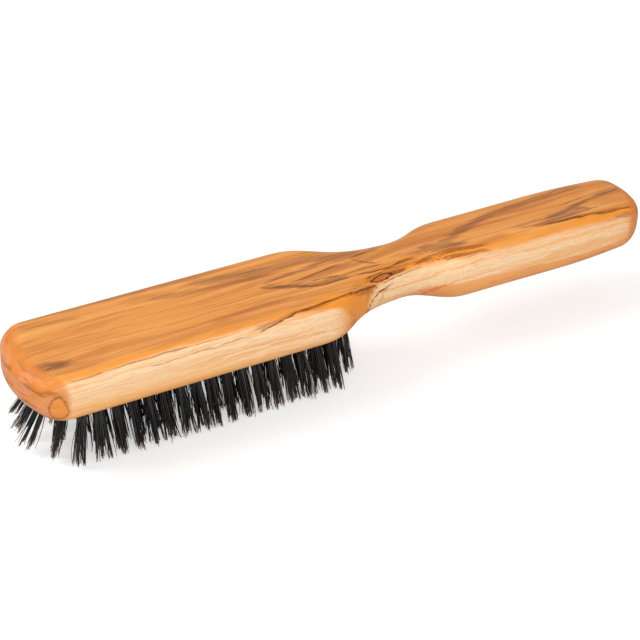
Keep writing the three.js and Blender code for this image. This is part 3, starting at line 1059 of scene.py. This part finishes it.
class BRUSH_OT_anchors(bpy.types.Operator):
    """Build the flat steel anchors that hold the tufts in their holes"""

    bl_idname = "brush.anchors"
    bl_label = "Tuft anchors"

    def execute(self, context):
        sizes = context.scene.brush_tufts
        material = anchor_steel(context.scene.brush_finish)
        by_row = {}
        for node, places in tuft_seats().items():
            row = node.split("_")[1]
            by_row.setdefault(row, []).extend(places)
        width = 2 * sizes.hole_radius - ANCHOR_CLEARANCE
        level = UNDERSIDE + sizes.hole_depth - ANCHOR_DEPTH
        for row, places in by_row.items():
            bm = bmesh.new()
            for x, y in places:
                made = bmesh.ops.create_cube(bm, size=1.0)["verts"]
                bmesh.ops.scale(bm, verts=made, vec=(sizes.anchor_thickness, width, sizes.anchor_height))
                bmesh.ops.translate(bm, verts=made, vec=(x, y, level))
            bmesh.ops.bevel(
                bm,
                geom=list(bm.edges),
                offset=ANCHOR_BEVEL,
                segments=2,
                profile=0.5,
                affect="EDGES",
                material=-1,
            )
            add_piece(f"anchors_{row}", bm, material)
        return {"FINISHED"}


# Half the floor's width, and the distances between which it turns pure white.
FLOOR_REACH = 3.0
FLOOR_FADE = (0.2, 0.7)

# Each lamp's name, place and width, and the setting that holds its power.
LAMPS = (
    ("key_softbox", (-0.7, 0.35, 0.8), 0.6, "key_power"),
    ("fill_softbox", (-0.05, -1.0, 0.6), 0.8, "fill_power"),
    ("glint_light", (-0.55, -0.75, 0.45), 0.1, "glint_power"),
)


def stage_material(name, level, glow):
    """A matt surface that shows the camera more white than its light alone gives it."""
    nodes = Nodes(name)
    seen = nodes.add("ShaderNodeLightPath").outputs["Is Camera Ray"]
    away = nodes.length(nodes.add("ShaderNodeTexCoord").outputs["Object"])
    brighter = nodes.ease(away, *FLOOR_FADE, glow, 1.0)
    return nodes.surface(
        {
            "Base Color": (level, level, level, 1.0),
            "Roughness": 0.9,
            "Specular IOR Level": 0.1,
            "Emission Color": (1.0, 1.0, 1.0, 1.0),
            "Emission Strength": nodes.times(seen, brighter),
        }
    )


class BRUSH_OT_stage(bpy.types.Operator):
    """Build the floor, the lights and the camera"""

    bl_idname = "brush.stage"
    bl_label = "Studio stage"

    def execute(self, context):
        settings = context.scene.brush_stage
        low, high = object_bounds()
        middle = (low + high) / 2
        bm = bmesh.new()
        bmesh.ops.create_grid(bm, x_segments=1, y_segments=1, size=FLOOR_REACH)
        floor = placed("floor", mesh_of("floor", bm))
        floor.data.materials.append(stage_material("floor_white", settings.floor_level, settings.floor_glow))
        floor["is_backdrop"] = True
        for name, place, width, setting in LAMPS:
            self.light(name, Vector(place), middle, width, getattr(settings, setting))
        self.world(context, settings.ambient)
        self.camera(context, settings, middle)
        context.scene.view_settings.view_transform = "Standard"
        return {"FINISHED"}

    def light(self, name, place, target, width, energy):
        data = bpy.data.lights.new(name, "AREA")
        data.size = width
        data.energy = energy
        lamp = placed(name, data)
        lamp.location = place
        lamp.rotation_euler = (target - place).to_track_quat("-Z", "Y").to_euler()

    def world(self, context, strength):
        world = bpy.data.worlds.new("studio")
        world.use_nodes = True
        tree = world.node_tree
        background = tree.nodes["Background"]
        background.inputs["Color"].default_value = (1, 1, 1, 1)
        seen = tree.nodes.new("ShaderNodeLightPath").outputs["Is Camera Ray"]
        level = tree.nodes.new("ShaderNodeMapRange")
        level.inputs["To Min"].default_value = strength
        level.inputs["To Max"].default_value = 1.0
        tree.links.new(seen, level.inputs["Value"])
        tree.links.new(level.outputs[0], background.inputs["Strength"])
        context.scene.world = world

    def camera(self, context, settings, middle):
        turn, rise = settings.azimuth, settings.elevation
        back = Vector((math.sin(turn) * math.cos(rise), -math.cos(turn) * math.cos(rise), math.sin(rise)))
        data = bpy.data.cameras.new("camera")
        data.lens = settings.lens
        camera = placed("camera", data)
        facing = back.to_track_quat("Z", "Y").to_matrix() @ Matrix.Rotation(settings.roll, 3, "Z")
        aim = middle + Vector(settings.aim)
        camera.matrix_world = Matrix.Translation(aim + back * settings.distance) @ facing.to_4x4()
        context.scene.camera = camera


class BRUSH_PT_panel(bpy.types.Panel):
    """Lists the brush's operators and settings"""

    bl_idname = "BRUSH_PT_panel"
    bl_label = "Beard brush"
    bl_space_type = "VIEW_3D"
    bl_region_type = "UI"
    bl_category = "Brush"

    def draw(self, context):
        layout = self.layout
        for operator in OPERATORS:
            layout.operator(operator.bl_idname)
        for name in SETTINGS:
            group = getattr(context.scene, name)
            box = layout.box()
            for key in group.__annotations__:
                box.prop(group, key)


OPERATORS = (BRUSH_OT_body, BRUSH_OT_tufts, BRUSH_OT_anchors, BRUSH_OT_stage)
SETTINGS = {
    "brush_body": BodySizes,
    "brush_tufts": TuftSizes,
    "brush_finish": Finish,
    "brush_stage": StageSettings,
}


def register():
    for group in SETTINGS.values():
        bpy.utils.register_class(group)
    for operator in OPERATORS:
        bpy.utils.register_class(operator)
    bpy.utils.register_class(BRUSH_PT_panel)
    for name, group in SETTINGS.items():
        setattr(bpy.types.Scene, name, PointerProperty(type=group))


def unregister():
    for name in SETTINGS:
        delattr(bpy.types.Scene, name)
    bpy.utils.unregister_class(BRUSH_PT_panel)
    for operator in reversed(OPERATORS):
        bpy.utils.unregister_class(operator)
    for group in reversed(SETTINGS.values()):
        bpy.utils.unregister_class(group)


def main():
    """Builds the brush and its stage."""
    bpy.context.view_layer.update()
    register()
    bpy.ops.brush.body()
    bpy.ops.brush.tufts()
    bpy.ops.brush.anchors()
    bpy.ops.brush.stage()


if __name__ == "__main__":
    main()
